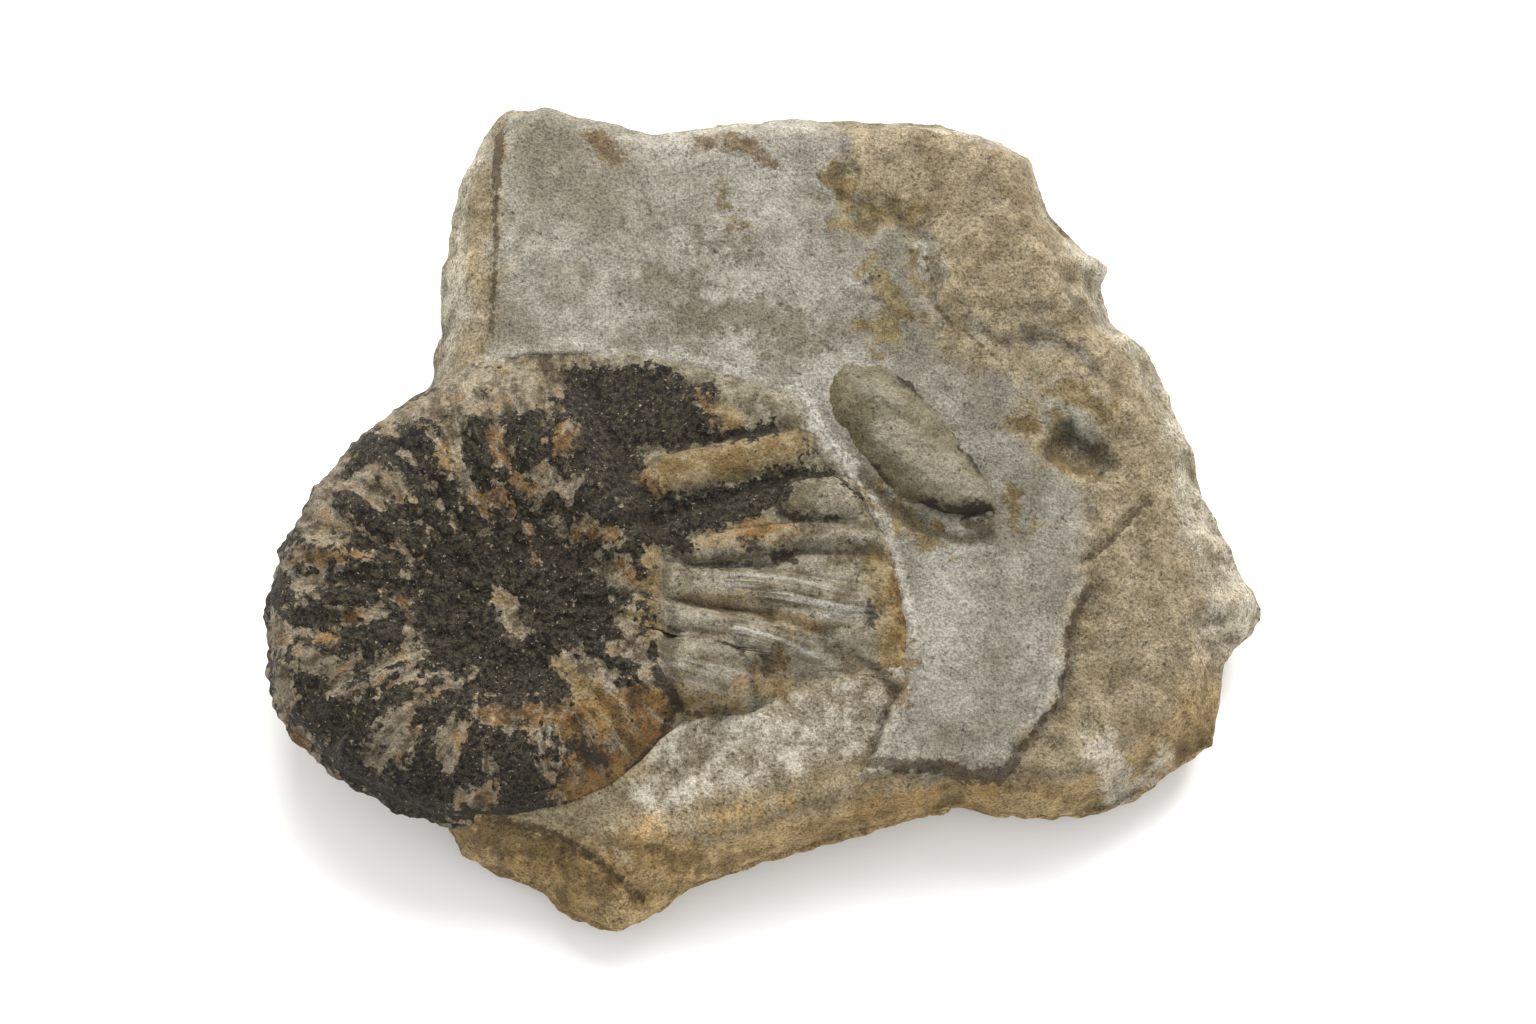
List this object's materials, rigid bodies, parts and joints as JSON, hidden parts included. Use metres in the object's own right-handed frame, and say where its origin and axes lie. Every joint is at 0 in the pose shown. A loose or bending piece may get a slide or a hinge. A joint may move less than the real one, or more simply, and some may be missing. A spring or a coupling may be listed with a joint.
{
  "type": "fossil pleuroceras ammonite",
  "caption": "Fossil pleuroceras ammonite, ribbed and keeled, with its smooth living chamber and a second whorl fragment, bedded in a flat-lying slab of limestone.",
  "frame": {"origin": "centre of the slab's footprint, on the surface it lies on", "axes": "+X across the slab along its longest side, +Y up its face, +Z out of its face, away from the surface it lies on"},
  "size_m": [0.1279, 0.1073, 0.025],
  "materials": {
    "matrix": "dry, dull marly limestone, grey on its upper bedding and tan below it, finely speckled",
    "shell": "rough blackish brown crust with fine glints over rust and tan stone, and a grey-tan silky mould in the living chamber",
    "mould": "smooth olive-grey stone mould with fine dark speckles"
  },
  "bodies": {
    "root": {"matrix_slab": "matrix", "ammonite": "shell", "whorl_fragment": "mould"}
  },
  "joints": []
}
